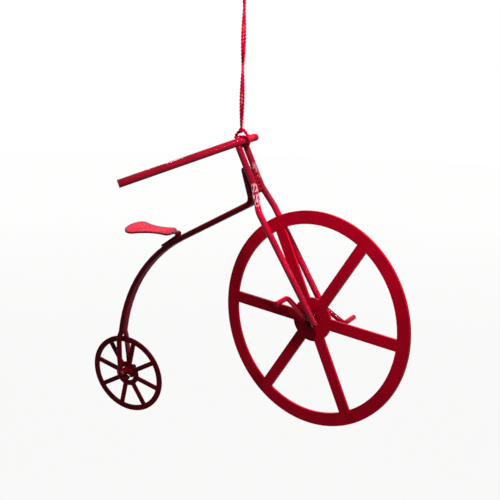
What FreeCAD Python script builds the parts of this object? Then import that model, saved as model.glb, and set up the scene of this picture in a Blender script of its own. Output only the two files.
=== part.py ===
"""Hanging ornament: a miniature high-wheel bicycle bent from enamelled wire, with two
loose sheet-metal wheels, on a doubled yarn cord.

Frame of the file: +Z is up along the taut cord, +X is the way the bicycle faces, +Y is
its left. The origin is the inside top of the cord's upper loop, where it hangs.

The wire pieces are drawn in the bicycle's own axes (x forward, y left, z up along the
fork blades, origin midway between the blades at the front axle's height) and then
turned and dropped together by the placement "hung". The front wheel hangs plumb on its
loose hole, so it keeps the upright axes.
"""

import FreeCAD, Part
import math
import os

V = FreeCAD.Vector

# alias, millimetres or degrees, what it is
SIZES = [
    ("cord_drop", 56.0, "inside top of the upper loop down to the handlebar's centre line"),
    ("hang_pitch", 30.0, "front of the bicycle up, as it hangs"),
    ("hang_roll", 7.6, "left side of the bicycle up, as it hangs"),
    ("hang_side", 1.35, "cord tied this far along the right arm from the bend"),
    ("fork_wire", 2.1, "wire of the fork blades"),
    ("stay_wire", 2.0, "wire of the two backbone stays"),
    ("bar_wire", 2.65, "rod of the handlebar"),
    ("crank_wire", 1.7, "wire of the axle, cranks and pedal pins"),
    ("rear_pin", 1.6, "wire of the rear axle"),
    ("fit_gap", 0.1, "between wires that are soldered side by side"),
    ("blade_clear", 0.51, "clear width between the leaning wheel's rim and the left blade"),
    ("left_toe", 0.9, "left blade's lower end closer to the middle"),
    ("blade_tip", 3.3, "blade's end below the axle"),
    ("blade_bend", 6.0, "radius of a blade's two bends"),
    ("shoulder_low", 1.65, "blades start to close in, above the front wheel's radius"),
    ("shoulder_high", 9.15, "they run up side by side, above that radius"),
    ("neck_half", 1.92, "middle plane to a blade's centre line in the neck"),
    ("neck_x", 0.9, "how far forward the neck starts"),
    ("neck_lean", 1.6, "how much further forward it ends"),
    ("bar_x", 4.64, "handlebar's bend, forward"),
    ("bar_z", 24.35, "handlebar's bend, above the front wheel's radius"),
    ("bar_bend", 2.4, "radius of that bend"),
    ("bar_arm", 42.5, "length of one arm of the handlebar"),
    ("bar_sweep", 35.5, "each arm swept back from square"),
    ("bar_rise", 6.3, "each arm rising to its end"),
    ("bar_turn", 4.5, "handlebar turned to the right side"),
    ("bar_tip", 0.8, "handlebar's left arm higher, its right arm lower"),
    ("crank_arm", 8.8, "axle to pedal pin"),
    ("right_crank", 69.5, "right crank above straight back"),
    ("left_crank", 60.0, "left crank below straight ahead"),
    ("crank_bend", 1.2, "radius of the cranks' bends"),
    ("pedal_pin", 6.6, "length of a pedal pin"),
    ("front_radius", 34.85, "front wheel, outside"),
    ("front_rim", 4.26, "width of its rim"),
    ("front_hub", 7.1, "radius of its hub disc"),
    ("front_hole", 2.6, "radius of its loose hole"),
    ("front_spoke", 3.7, "width of a spoke"),
    ("front_side", 2.16, "how far its hub has slid to the right"),
    ("front_slack_x", 0.26, "hub's centre ahead of the axle"),
    ("front_slack_z", -1.42, "hub's centre below the axle"),
    ("front_sheet", 0.9, "thickness of the front wheel"),
    ("rear_radius", 15.8, "rear wheel, outside"),
    ("rear_rim", 2.15, "width of its rim"),
    ("rear_hub", 5.0, "radius of its hub disc"),
    ("rear_hole", 2.95, "radius of its loose hole"),
    ("rear_spoke", 1.8, "width of a spoke"),
    ("rear_slack_x", -1.5, "hub's centre behind the axle"),
    ("rear_slack_z", -1.3, "hub's centre below the axle"),
    ("rear_yaw", 11.6, "rear wheel turned to the left about the vertical"),
    ("rear_roll", 6.66, "rear wheel's left side up"),
    ("rear_sheet", 0.7, "thickness of the rear wheel"),
    ("rear_x", -95.6, "rear axle, back from the fork"),
    ("rear_z", 8.05, "rear axle, up"),
    ("rear_pin_length", 7.2, "length of the rear axle"),
    ("stay_fall", 31.5, "lower end of the stays, back from straight down"),
    ("stay_spread", 2.5, "middle plane to a stay's centre line at the rear axle"),
    ("stay_part", 2.0, "the same where the wheel's rim passes between them"),
    ("stay_end", 3.3, "stays' ends past the rear axle"),
    ("stay_fork", 5.3, "run from the axle up to the full spread"),
    ("stay_heel", 13.8, "run from the axle up to the foot of the arch"),
    ("stay_split", 2.2, "run above that foot where the stays part"),
    ("arch_x", -67.7, "corner that the long arch rounds off, back"),
    ("arch_z", 8.75, "the same, above the front wheel's radius"),
    ("elbow_x", -3.3, "stays' bend at the head, back"),
    ("elbow_z", 5.75, "the same, above the front wheel's radius"),
    ("elbow_bend", 3.0, "radius of that bend"),
    ("head_z", 16.15, "upper end of the stays, above the front wheel's radius"),
    ("saddle_sheet", 0.65, "thickness of the saddle"),
    ("saddle_length", 22.8, "length of the saddle's seat"),
    ("saddle_wide", 9.0, "width of its rear end"),
    ("saddle_nose", 5.4, "width of its nose"),
    ("saddle_hollow", 26.5, "radius of its hollow sides"),
    ("saddle_x", -40.4, "tip of the nose, back from the fork"),
    ("saddle_high", 1.4, "tip of the nose above the tongue"),
    ("saddle_tilt", 28.2, "seat rising to the rear"),
    ("saddle_roll", 13.0, "seat's left side up"),
    ("tongue_width", 3.0, "width of the tongue under the nose"),
    ("tongue_length", 7.8, "tongue's rear end behind the nose"),
    ("tongue_fall", 1.0, "tongue falling to the rear, in degrees"),
    ("yarn", 0.85, "one strand of the cord's yarn"),
    ("knot_high", 2.8, "height of a knot"),
    ("knot_wide", 2.6, "width of a knot"),
    ("knot_lift", 1.2, "clear height between the handlebar and its knot"),
    ("upper_loop", 9.5, "height of the cord's upper loop"),
    ("upper_wide", 4.4, "width of the cord's upper loop"),
    ("loop_round", 0.85, "share of a loop's half width that its bends take"),
    ("noose_right", 4.2, "right loop of the noose, out along its arm"),
    ("noose_left", 4.5, "left loop of the noose, out along its arm"),
]
FRONT_SPOKES = 6
REAR_SPOKES = 8
FRONT_PHASE = -3.4
REAR_PHASE = 29.0

doc = FreeCAD.newDocument("hanging_bicycle")
sheet = doc.addObject("Spreadsheet::Sheet", "sizes")
for row, (alias, value, note) in enumerate(SIZES, 1):
    sheet.set(f"A{row}", alias)
    sheet.set(f"B{row}", str(value))
    sheet.set(f"C{row}", note)
    sheet.setAlias(f"B{row}", alias)
doc.recompute()

size = {alias: float(sheet.get(alias)) for alias, _value, _note in SIZES}
parts = []


def upright(degrees):
    """A direction in the bicycle's side plane, measured back from straight up."""
    angle = math.radians(degrees)
    return V(-math.sin(angle), 0, math.cos(angle))


def arm_end(sign):
    """Direction of one arm of the handlebar from its bend."""
    angle = math.radians(size["bar_sweep"] - sign * size["bar_turn"])
    rise = math.radians(size["bar_rise"] + sign * size["bar_tip"])
    flat = V(-math.sin(angle), sign * math.cos(angle), 0) * math.cos(rise)
    return flat + V(0, 0, math.sin(rise))


SIDES = [("right", -1), ("left", 1)]
hang = FreeCAD.Rotation(0, -size["hang_pitch"], size["hang_roll"])
bar_bend = V(size["bar_x"], 0, size["front_radius"] + size["bar_z"])
tie_spot = bar_bend + arm_end(-1) * size["hang_side"]
hung = FreeCAD.Placement(V(0, 0, -size["cord_drop"]) - hang.multVec(tie_spot), hang)


def corner(points, index):
    """Directions back and ahead at one corner, and half the angle between them."""
    here = V(*points[index][0])
    back = (V(*points[index - 1][0]) - here).normalize()
    ahead = (V(*points[index + 1][0]) - here).normalize()
    return here, back, ahead, back.getAngle(ahead) / 2


def bent_line(points):
    """Straight runs through (point, bend radius) pairs, joined by tangent arcs."""
    edges = []
    start = V(*points[0][0])
    for index in range(1, len(points) - 1):
        here, back, ahead, half = corner(points, index)
        radius = points[index][1]
        reach = radius / math.tan(half)
        middle = here + (back + ahead).normalize() * (radius / math.sin(half) - radius)
        first, last = here + back * reach, here + ahead * reach
        edges.append(Part.LineSegment(start, first).toShape())
        edges.append(Part.Arc(first, middle, last).toShape())
        start = last
    edges.append(Part.LineSegment(start, V(*points[-1][0])).toShape())
    return Part.Wire(edges)


def widest(points, index, spare):
    """The largest radius that still fits the run ahead of a corner, less a spare length."""
    here, _back, _ahead, half = corner(points, index)
    run = (V(*points[index + 1][0]) - here).Length
    return (run - spare) * math.tan(half)


def bent_wire(label, points, wire_alias, placement=hung):
    """A round wire swept along a bent line."""
    line = doc.addObject("Part::Feature", label + "_line")
    line.Shape = bent_line(points)
    ring = doc.addObject("Part::Circle", label + "_ring")
    ring.setExpression("Radius", f"sizes.{wire_alias} / 2")
    start, ahead = V(*points[0][0]), V(*points[1][0])
    ring.Placement = FreeCAD.Placement(start, FreeCAD.Rotation(V(0, 0, 1), ahead - start))
    pipe = doc.addObject("Part::Sweep", label)
    pipe.Sections = [ring]
    pipe.Spine = (line, [f"Edge{n + 1}" for n in range(len(line.Shape.Edges))])
    pipe.Solid = True
    pipe.Frenet = False
    pipe.Placement = placement
    pipe.Label = label
    parts.append(pipe)
    return pipe


def cylinder(label, radius, height, placement):
    """A cylinder whose sizes are expressions on the sheet."""
    solid = doc.addObject("Part::Cylinder", label)
    solid.setExpression("Radius", radius)
    solid.setExpression("Height", height)
    solid.Placement = placement
    solid.Label = label
    return solid


def wheel(label, prefix, spokes, phase, placement):
    """A flat wheel cut from sheet, its axle along local Z, centred on its own middle."""
    flat = FreeCAD.Placement()
    thick = f"sizes.{prefix}_sheet"
    outer = cylinder(label + "_outer", f"sizes.{prefix}_radius", thick, flat)
    inner = cylinder(label + "_inner", f"sizes.{prefix}_radius - sizes.{prefix}_rim", thick, flat)
    rim = doc.addObject("Part::Cut", label + "_ring")
    rim.Base, rim.Tool = outer, inner
    hub = cylinder(label + "_hub", f"sizes.{prefix}_hub", thick, flat)
    bars = [rim, hub]
    half = size[prefix + "_radius"] - size[prefix + "_rim"] / 2
    for number in range(spokes // 2):
        bar = doc.addObject("Part::Box", f"{label}_spokes_{number + 1}")
        bar.setExpression("Length", f"2 * sizes.{prefix}_radius - sizes.{prefix}_rim")
        bar.setExpression("Width", f"sizes.{prefix}_spoke")
        bar.setExpression("Height", thick)
        turn = FreeCAD.Rotation(phase + number * 360 / spokes, 0, 0)
        start = V(-half, -size[prefix + "_spoke"] / 2, 0)
        bar.Placement = FreeCAD.Placement(turn.multVec(start), turn)
        bars.append(bar)
    disc = doc.addObject("Part::MultiFuse", label + "_disc")
    disc.Shapes = bars
    hole = cylinder(label + "_hole", f"sizes.{prefix}_hole", thick, flat)
    whole = doc.addObject("Part::Cut", label)
    whole.Base, whole.Tool = disc, hole
    whole.Refine = True
    middle = FreeCAD.Placement(V(0, 0, -size[prefix + "_sheet"] / 2), FreeCAD.Rotation())
    whole.Placement = placement.multiply(middle)
    whole.Label = label
    parts.append(whole)


# The fork: two blades that close in above the wheel and run up side by side to the bar.
# The wheel hangs plumb while the fork leans, so its rim comes near the left blade.
rim_side = size["front_radius"] * math.tan(math.radians(size["hang_roll"])) - size["front_side"]
blade_half = rim_side + (size["front_sheet"] + size["fork_wire"]) / 2 + size["blade_clear"]
shoulder_low = size["front_radius"] + size["shoulder_low"]
shoulder_high = size["front_radius"] + size["shoulder_high"]
fork_top = bar_bend.z - (size["bar_wire"] - size["fit_gap"]) / 2
for side, sign, toe in (("right", -1, 0), ("left", 1, size["left_toe"])):
    bent_wire("fork_blade_" + side, [
        ((0, sign * blade_half - toe, -size["blade_tip"]), 0),
        ((0, sign * blade_half, shoulder_low), size["blade_bend"]),
        ((size["neck_x"], sign * size["neck_half"], shoulder_high), size["blade_bend"]),
        ((size["neck_x"] + size["neck_lean"], sign * size["neck_half"], fork_top), 0),
    ], "fork_wire")

# The backbone: two wires side by side from the head, over the wheel in one long arch,
# parting at its foot to take the rear wheel and axle. The axle lies on their front side.
rear_spot = V(size["rear_x"], 0, size["rear_z"])
rise = upright(-size["stay_fall"])
behind = V(-rise.z, 0, rise.x)
beside = rear_spot + behind * ((size["stay_wire"] + size["rear_pin"] + size["fit_gap"]) / 2)
end = beside - rise * size["stay_end"]
spread = beside + rise * size["stay_fork"]
heel = beside + rise * size["stay_heel"]
arch = V(size["arch_x"], 0, size["front_radius"] + size["arch_z"])
elbow = V(size["elbow_x"], 0, size["front_radius"] + size["elbow_z"])
split = heel + (arch - heel).normalize() * size["stay_split"]
close = (size["stay_wire"] + size["fit_gap"]) / 2
head_z = size["front_radius"] + size["head_z"]
neck_share = (head_z - shoulder_high) / (fork_top - shoulder_high)
apart = (size["fork_wire"] + size["stay_wire"]) / 2 + size["fit_gap"] / 2
setback = math.sqrt(apart ** 2 - (size["neck_half"] - close) ** 2)
head_x = size["neck_x"] + size["neck_lean"] * neck_share - setback
for side, sign in SIDES:
    route = [
        ((head_x, sign * close, head_z), 0),
        ((elbow.x, sign * close, elbow.z), size["elbow_bend"]),
        ((arch.x, sign * close, arch.z), 0),
        ((split.x, sign * close, split.z), size["stay_wire"]),
        ((heel.x, sign * size["stay_part"], heel.z), 3 * size["stay_wire"]),
        ((spread.x, sign * size["stay_spread"], spread.z), 4 * size["stay_wire"]),
        ((end.x, sign * size["stay_spread"], end.z), 0),
    ]
    route[2] = (route[2][0], widest(route, 2, size["stay_wire"] / 2))
    bent_wire("backbone_stay_" + side, route, "stay_wire")

bent_wire("handlebar", [
    (tuple(bar_bend + arm_end(-1) * size["bar_arm"]), 0),
    (tuple(bar_bend), size["bar_bend"]),
    (tuple(bar_bend + arm_end(1) * size["bar_arm"]), 0),
], "bar_wire")

# The axle lies behind the blades: its right crank rises beside the right blade, its left
# crank starts outside the left blade and passes it.
axle_x = -(size["fork_wire"] + size["crank_wire"] + size["fit_gap"]) / 2
right_root = V(axle_x, -blade_half, 0)
left_root = V(axle_x, blade_half - axle_x + size["fit_gap"], 0)
right_end = right_root + upright(90 - size["right_crank"]) * size["crank_arm"]
left_end = left_root - upright(90 - size["left_crank"]) * size["crank_arm"]
pin = V(0, size["pedal_pin"], 0)
bent_wire("crank_axle", [
    (tuple(right_end - pin), 0),
    (tuple(right_end), size["crank_bend"]),
    (tuple(right_root), size["crank_bend"]),
    (tuple(left_root), size["crank_bend"]),
    (tuple(left_end), size["crank_bend"]),
    (tuple(left_end + pin), 0),
], "crank_wire")

across = FreeCAD.Rotation(V(1, 0, 0), 90)
rear_axle = cylinder("rear_axle", "sizes.rear_pin / 2", "sizes.rear_pin_length", FreeCAD.Placement())
rear_start = rear_spot + V(0, size["rear_pin_length"] / 2, 0)
rear_axle.Placement = hung.multiply(FreeCAD.Placement(rear_start, across))
parts.append(rear_axle)

# The wheels hang loose on their axles: the front one plumb, the rear one a little turned.
front_middle = V(axle_x + size["front_slack_x"], -size["front_side"], size["front_slack_z"])
front_centre = hung.multVec(front_middle)
wheel("front_wheel", "front", FRONT_SPOKES, FRONT_PHASE, FreeCAD.Placement(front_centre, across))
rear_middle = rear_spot + V(size["rear_slack_x"], 0, size["rear_slack_z"])
rear_centre = hung.multVec(rear_middle)
rear_turn = FreeCAD.Rotation(size["rear_yaw"], 0, size["rear_roll"])
wheel("rear_wheel", "rear", REAR_SPOKES, REAR_PHASE,
      FreeCAD.Placement(rear_centre, rear_turn.multiply(across)))


def mirrored(spot):
    """The same spot on the other side of the outline's long axis."""
    return V(spot.x, -spot.y, spot.z)


def peanut(wide, narrow, apart, hollow):
    """A wide end arc about x = 0 and a narrow one about x = apart, joined by two
    hollow side arcs that are tangent to both."""
    to_wide, to_narrow = hollow + wide, hollow + narrow
    along = (to_wide ** 2 - to_narrow ** 2 + apart ** 2) / (2 * apart)
    middle = V(along, math.sqrt(to_wide ** 2 - along ** 2), 0)
    meets_wide = middle * (wide / to_wide)
    meets_narrow = V(apart, 0, 0) + (middle - V(apart, 0, 0)) * (narrow / to_narrow)
    waist = middle - V(0, hollow, 0)
    return Part.Wire([
        Part.Arc(meets_wide, waist, meets_narrow).toShape(),
        Part.Arc(meets_narrow, V(apart + narrow, 0, 0), mirrored(meets_narrow)).toShape(),
        Part.Arc(mirrored(meets_narrow), mirrored(waist), mirrored(meets_wide)).toShape(),
        Part.Arc(mirrored(meets_wide), V(-wide, 0, 0), meets_wide).toShape(),
    ])


# The saddle: a peanut-shaped seat whose nose folds under into a tongue on the stays.
backbone = (arch - elbow).normalize()
stay_line = elbow + backbone * ((size["saddle_x"] - elbow.x) / backbone.x)
fold = (size["stay_wire"] + size["saddle_sheet"]) / 2 + size["fit_gap"]
under = stay_line + V(0, 0, fold)
nose = under + V(0, 0, size["saddle_high"])
seat_shape = doc.addObject("Part::Feature", "saddle_outline")
ends = (size["saddle_wide"] + size["saddle_nose"]) / 2
seat_shape.Shape = peanut(size["saddle_wide"] / 2, size["saddle_nose"] / 2,
                          size["saddle_length"] - ends, size["saddle_hollow"])
seat = doc.addObject("Part::Extrusion", "saddle_seat")
seat.Base = seat_shape
seat.DirMode = "Custom"
seat.Dir = V(0, 0, 1)
seat.setExpression("LengthFwd", "sizes.saddle_sheet")
seat.Symmetric = True
seat.Solid = True
slope = FreeCAD.Rotation(V(0, 1, 0), size["saddle_tilt"])
tilt = slope.multiply(FreeCAD.Rotation(V(1, 0, 0), size["saddle_roll"]))
ahead = tilt.multVec(V(1, 0, 0))
seat_rear = nose - ahead * (size["saddle_length"] - size["saddle_wide"] / 2)
seat.Placement = FreeCAD.Placement(seat_rear, tilt)

root = nose - ahead * (size["saddle_nose"] / 2)
lip = size["saddle_sheet"]
fall = math.radians(size["tongue_fall"])
tongue_rear = V(-math.cos(fall), 0, -math.sin(fall))
turns = [
    (tuple(root), 0),
    (tuple(nose), size["saddle_sheet"]),
    (tuple(nose + V(lip, 0, -size["saddle_high"] / 2)), size["saddle_sheet"] / 2),
    (tuple(under), size["saddle_sheet"]),
    (tuple(under + tongue_rear * size["tongue_length"]), 0),
]
fold_line = doc.addObject("Part::Feature", "saddle_tongue_line")
fold_line.Shape = bent_line(turns)
section = doc.addObject("Part::Plane", "saddle_tongue_section")
section.setExpression("Length", "sizes.tongue_width")
section.setExpression("Width", "sizes.saddle_sheet")
facing = FreeCAD.Rotation(V(0, 1, 0), V(0, 0, 0), nose - root, "ZXY")
corner_spot = facing.multVec(V(size["tongue_width"], size["saddle_sheet"], 0)) / 2
section.Placement = FreeCAD.Placement(root - corner_spot, facing)
tongue = doc.addObject("Part::Sweep", "saddle_tongue")
tongue.Sections = [section]
tongue.Spine = (fold_line, [f"Edge{n + 1}" for n in range(len(fold_line.Shape.Edges))])
tongue.Solid = True
tongue.Frenet = False
saddle = doc.addObject("Part::MultiFuse", "saddle")
saddle.Shapes = [seat, tongue]
saddle.Refine = True
saddle.Placement = hung
saddle.Label = "saddle"
parts.append(saddle)


def knot(label, low):
    """A knot standing on the cord's line with its underside at a height."""
    ball = doc.addObject("Part::Ellipsoid", label)
    ball.setExpression("Radius1", "sizes.knot_high / 2")
    ball.setExpression("Radius2", "sizes.knot_wide / 2")
    ball.Placement = FreeCAD.Placement(V(0, 0, low + size["knot_high"] / 2), FreeCAD.Rotation())
    ball.Label = label
    parts.append(ball)


# The cord: a noose with one loop round each arm of the bar, its knot above the bend, the
# taut doubled yarn, and a second knot that closes the upper loop.
plumb = hang.inverted().multVec(V(0, 0, 1))
knot_foot = tie_spot + plumb * (size["bar_wire"] / 2 + size["knot_lift"])
strand = (size["yarn"] + size["fit_gap"]) / 2
hug = size["bar_wire"] / 2 + strand
for side, sign in SIDES:
    out = arm_end(sign)
    front = out.cross(plumb).normalize()
    over = front.cross(out)
    middle = bar_bend + out * size["noose_" + side]
    foot = knot_foot + out * size["yarn"]
    bent_wire("noose_" + side, [
        (tuple(foot + front * strand), 0),
        (tuple(middle + front * hug + over * hug), strand),
        (tuple(middle + front * hug - over * hug), hug * size["loop_round"]),
        (tuple(middle - front * hug - over * hug), hug * size["loop_round"]),
        (tuple(middle - front * hug + over * hug), strand),
        (tuple(foot - front * strand), 0),
    ], "yarn")

head_knot_low = -size["cord_drop"] + size["bar_wire"] / 2 + size["knot_lift"] + size["fit_gap"]
cord_low = head_knot_low + size["knot_high"]
cord_high = -size["upper_loop"] - size["knot_high"]
knot("head_knot", head_knot_low)
hanging_cord = cylinder("hanging_cord", "sizes.yarn", str(cord_high - cord_low),
                        FreeCAD.Placement(V(0, 0, cord_low), FreeCAD.Rotation()))
parts.append(hanging_cord)
knot("loop_knot", cord_high)

loop_half = size["upper_wide"] / 2
loop_top = size["yarn"] / 2
bent_wire("upper_loop", [
    ((-size["yarn"] / 2, 0, -size["upper_loop"]), 0),
    ((-loop_half, 0, -size["upper_loop"] + loop_half), loop_half),
    ((-loop_half, 0, loop_top), loop_half * size["loop_round"]),
    ((loop_half, 0, loop_top), loop_half * size["loop_round"]),
    ((loop_half, 0, -size["upper_loop"] + loop_half), loop_half),
    ((size["yarn"] / 2, 0, -size["upper_loop"]), 0),
], "yarn", FreeCAD.Placement())

doc.recompute()

for thing in doc.Objects:
    if "Invalid" in thing.State or "Error" in thing.State:
        raise RuntimeError(f"{thing.Label} failed to build")
for piece in parts:
    if piece.Shape.isNull() or not piece.Shape.isValid():
        raise RuntimeError(f"{piece.Label} has no valid shape")

os.makedirs("parts", exist_ok=True)
for piece in parts:
    piece.Shape.exportStep(f"parts/{piece.Label}.step")
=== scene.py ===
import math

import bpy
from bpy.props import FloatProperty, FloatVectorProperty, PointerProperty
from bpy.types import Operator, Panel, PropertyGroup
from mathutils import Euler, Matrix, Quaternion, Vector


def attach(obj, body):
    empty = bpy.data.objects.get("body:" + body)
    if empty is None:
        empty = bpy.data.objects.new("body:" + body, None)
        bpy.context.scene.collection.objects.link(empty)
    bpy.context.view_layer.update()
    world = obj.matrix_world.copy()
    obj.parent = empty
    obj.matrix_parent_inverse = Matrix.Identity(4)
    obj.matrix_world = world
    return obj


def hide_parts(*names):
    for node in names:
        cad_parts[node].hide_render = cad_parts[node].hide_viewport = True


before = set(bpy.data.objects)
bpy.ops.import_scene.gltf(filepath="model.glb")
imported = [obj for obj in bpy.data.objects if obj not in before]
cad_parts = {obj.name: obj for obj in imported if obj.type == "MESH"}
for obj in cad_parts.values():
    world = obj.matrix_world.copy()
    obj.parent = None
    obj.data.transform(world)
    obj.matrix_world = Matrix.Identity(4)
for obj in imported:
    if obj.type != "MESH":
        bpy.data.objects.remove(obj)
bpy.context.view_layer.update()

# Studio scene of a hanging ornament: a miniature high-wheel bicycle bent from enamelled
# wire, with two loose sheet-metal wheels and a folded sheet saddle, on a doubled yarn.
#
# Everything is in metres in the packed model's frame. +Z is up along the taut cord, +X is
# the way the bicycle faces and +Y is its left. The wire pieces are drawn in the bicycle's
# own axes (x forward, y left, z up along the fork) and then hung, all by one matrix.

bl_info = {
    "name": "Hanging bicycle ornament",
    "version": (1, 0, 0),
    "blender": (4, 5, 0),
    "location": "3D View > Sidebar > Ornament",
    "description": "Wire bicycle, sheet wheels, saddle and yarn cord on a plain stage",
    "category": "Object",
}

MM = 0.001
SIDES = (("right", -1), ("left", 1))

# Sizes that set a place as well as a thickness, in millimetres.
WIRES = {"fork": 2.1, "stay": 2.0, "bar": 2.65, "crank": 1.7, "rear_pin": 1.6}
FRONT_SHEET = 0.9
YARN = 0.85


def length(label, note, size):
    """A size property, given in millimetres."""
    return FloatProperty(name=label, description=note, default=size * MM, min=0, unit="LENGTH")


def paint(label, note, red, green, blue):
    """A colour property."""
    return FloatVectorProperty(name=label, description=note, default=(red, green, blue, 1),
                               size=4, min=0, max=1, subtype="COLOR")


class WireSizes(PropertyGroup):
    """Thicknesses of the bicycle's wires."""
    fork: length("Fork wire", "Thickness of the two fork blades", WIRES["fork"])
    stay: length("Stay wire", "Thickness of the two backbone stays", WIRES["stay"])
    bar: length("Handlebar", "Thickness of the handlebar", WIRES["bar"])
    crank: length("Crank wire", "Thickness of the axle, cranks and pedal pins", WIRES["crank"])
    rear_pin: length("Rear axle", "Thickness of the rear axle", WIRES["rear_pin"])
    cut_edge: length("Cut edge", "Rounding of the wires' cut ends", 0.28)


class SheetSizes(PropertyGroup):
    """Edges and thicknesses of the pieces cut from sheet."""
    front: length("Front wheel sheet", "Thickness of the front wheel", FRONT_SHEET)
    rear: length("Rear wheel sheet", "Thickness of the rear wheel", 0.7)
    saddle: length("Saddle sheet", "Thickness of the saddle", 0.65)
    window_corner: length("Window corner", "Rounding in the corners between the spokes", 0.75)
    edge: length("Enamelled edge", "Rounding of the wheels' edges under the enamel", 0.14)


class YarnSizes(PropertyGroup):
    """The cord's yarn."""
    yarn: length("Yarn", "Thickness of one yarn", YARN)
    ply_turn: length("Ply turn", "Length of one turn of a yarn's two plies", 2.2)
    pair_turn: length("Pair turn", "Length of one turn of the cord's two yarns", 37.0)


class FinishColours(PropertyGroup):
    """Colours of the enamel and the yarn."""
    bright: paint("Bright enamel", "Fork blades and cranks", 0.39, 0.0005, 0.020)
    # A darker copy of the bright enamel, as painted shade on the handlebar.
    bar: paint("Bar enamel", "Handlebar", 0.20, 0.0002, 0.010)
    wheel: paint("Wheel enamel", "Front wheel", 0.39, 0.0004, 0.013)
    # A darker copy of the red enamel: painted shade on the backbone, rear wheel, rear pin,
    # collars, flange, foot joints, neck web and saddle tongue.
    dark: paint("Dark enamel", "Backbone and rear wheel", 0.12, 0.0004, 0.006)
    # A lighter copy of the enamel, as a painted sheen on the left stay; painted shade darkens its
    # upper straight part.
    sheen: paint("Sheen enamel", "Left backbone stay", 0.24, 0.010, 0.032)
    # Painted light on the stays beside the neck, which it makes lighter, and painted shade on the
    # saddle's sides and rim, which it makes darker.
    stem: paint("Stem enamel", "Stays beside the neck and the saddle's rim", 0.20, 0.002, 0.026)
    # Pale coral, as a painted highlight on the ends of the rear pin.
    pin: paint("Pin enamel", "Ends of the rear pin", 0.90, 0.10, 0.16)
    # Pale pink painted into the enamel as highlight streaks on the fork's shoulder and neck.
    solder: paint("Solder", "Solder that shows through thin enamel", 0.92, 0.40, 0.47)
    # Lighter and pinker than the other enamel, as painted light and reflection on the saddle's
    # top.
    saddle: paint("Saddle enamel", "Top of the saddle", 0.60, 0.014, 0.038)
    yarn: paint("Yarn", "Dyed yarn of the cord", 0.42, 0.001, 0.022)


class StudioLight(PropertyGroup):
    """Lamps and surroundings."""
    near: FloatProperty(name="Near lamp", description="Power of the small lamp close above",
                        default=0.45, min=0, unit="POWER")
    key: FloatProperty(name="Key lamp", description="Power of the lamp above on the left",
                       default=0.22, min=0, unit="POWER")
    side: FloatProperty(name="Side lamp", description="Power of the lamp on the right",
                        default=0.17, min=0, unit="POWER")
    glint: FloatProperty(name="Glint lamp", description="Power of the small lamp in front",
                         default=0.16, min=0, unit="POWER")
    rim: FloatProperty(name="Rim lamp", description="Power of the lamp above and behind",
                       default=0.25, min=0, unit="POWER")
    fill: FloatProperty(name="Fill lamp", description="Power of the lamp behind on the left",
                        default=0.4, min=0, unit="POWER")
    ambient: FloatProperty(name="Ambient", description="Light from all round",
                           default=0.04, min=0, max=1, subtype="FACTOR")


def sizes(group):
    """One of the property groups, by the name it is stored under."""
    return getattr(bpy.context.scene, "ornament_" + group)


# ---------------------------------------------------------------- the bicycle's own axes

NOSE_UP = math.radians(30)
LEFT_UP = math.radians(7.6)
HANG = Matrix.Rotation(-NOSE_UP, 3, "Y") @ Matrix.Rotation(LEFT_UP, 3, "X")
CORD_DROP = 56.0
TIED_ALONG = 1.35
FIT_GAP = 0.1
FRONT_RADIUS = 34.85
BAR_BEND = Vector((4.64, 0, FRONT_RADIUS + 24.35))
ARM = 42.5


def arm_end(sign):
    """Direction of one arm of the handlebar from its bend."""
    sweep = math.radians(35.5 - sign * 4.5)
    rise = math.radians(6.3 + sign * 0.8)
    return Vector((-math.sin(sweep) * math.cos(rise), sign * math.cos(sweep) * math.cos(rise),
                   math.sin(rise)))


TIE_SPOT = BAR_BEND + arm_end(-1) * TIED_ALONG
HUNG = Matrix.Translation((Vector((0, 0, -CORD_DROP)) - HANG @ TIE_SPOT) * MM) @ HANG.to_4x4()


def upright(degrees):
    """A direction in the bicycle's side plane, measured back from straight up."""
    angle = math.radians(degrees)
    return Vector((-math.sin(angle), 0, math.cos(angle)))


# ------------------------------------------------------------------- making and finishing


def alone():
    """Leaves nothing selected, in object mode."""
    if bpy.context.object and bpy.context.object.mode != "OBJECT":
        bpy.ops.object.mode_set(mode="OBJECT")
    bpy.ops.object.select_all(action="DESELECT")


def pick(*pieces):
    """Selects these pieces and nothing else, the first one active."""
    alone()
    for piece in pieces:
        piece.select_set(True)
    bpy.context.view_layer.objects.active = pieces[0]
    return pieces[0]


def applied(piece, kind, **settings):
    """Adds one modifier and applies it."""
    pick(piece)
    bpy.ops.object.modifier_add(type=kind)
    modifier = piece.modifiers[-1]
    for key, value in settings.items():
        setattr(modifier, key, value)
    bpy.ops.object.modifier_apply(modifier=modifier.name)
    return piece


def outward(piece):
    """Merges doubles and turns the faces outwards."""
    pick(piece)
    bpy.ops.object.mode_set(mode="EDIT")
    bpy.ops.mesh.select_all(action="SELECT")
    bpy.ops.mesh.remove_doubles(threshold=1e-7)
    bpy.ops.mesh.normals_make_consistent(inside=False)
    bpy.ops.object.mode_set(mode="OBJECT")


def smooth(piece, degrees=40):
    """Smooth shading that keeps edges sharper than an angle."""
    pick(piece)
    bpy.ops.object.shade_smooth_by_angle(angle=math.radians(degrees))


def placed(piece, matrix):
    """Moves a finished piece to its place and puts that place in its mesh."""
    pick(piece)
    piece.matrix_world = matrix
    bpy.ops.object.transform_apply(location=True, rotation=True, scale=True)
    return piece


def handed_over(piece, name, body, slot, material, *nodes):
    """Names a piece, gives it its material and ties it to its body."""
    piece.name = name
    piece.data.name = name
    piece.data.materials.clear()
    piece.data.materials.append(material)
    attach(piece, body)
    if nodes:
        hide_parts(*nodes)
    return piece


def painted(piece, material, chosen):
    """Gives a second material to the faces that a test picks."""
    piece.data.materials.append(material)
    for face in piece.data.polygons:
        if chosen(face):
            face.material_index = 1


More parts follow.
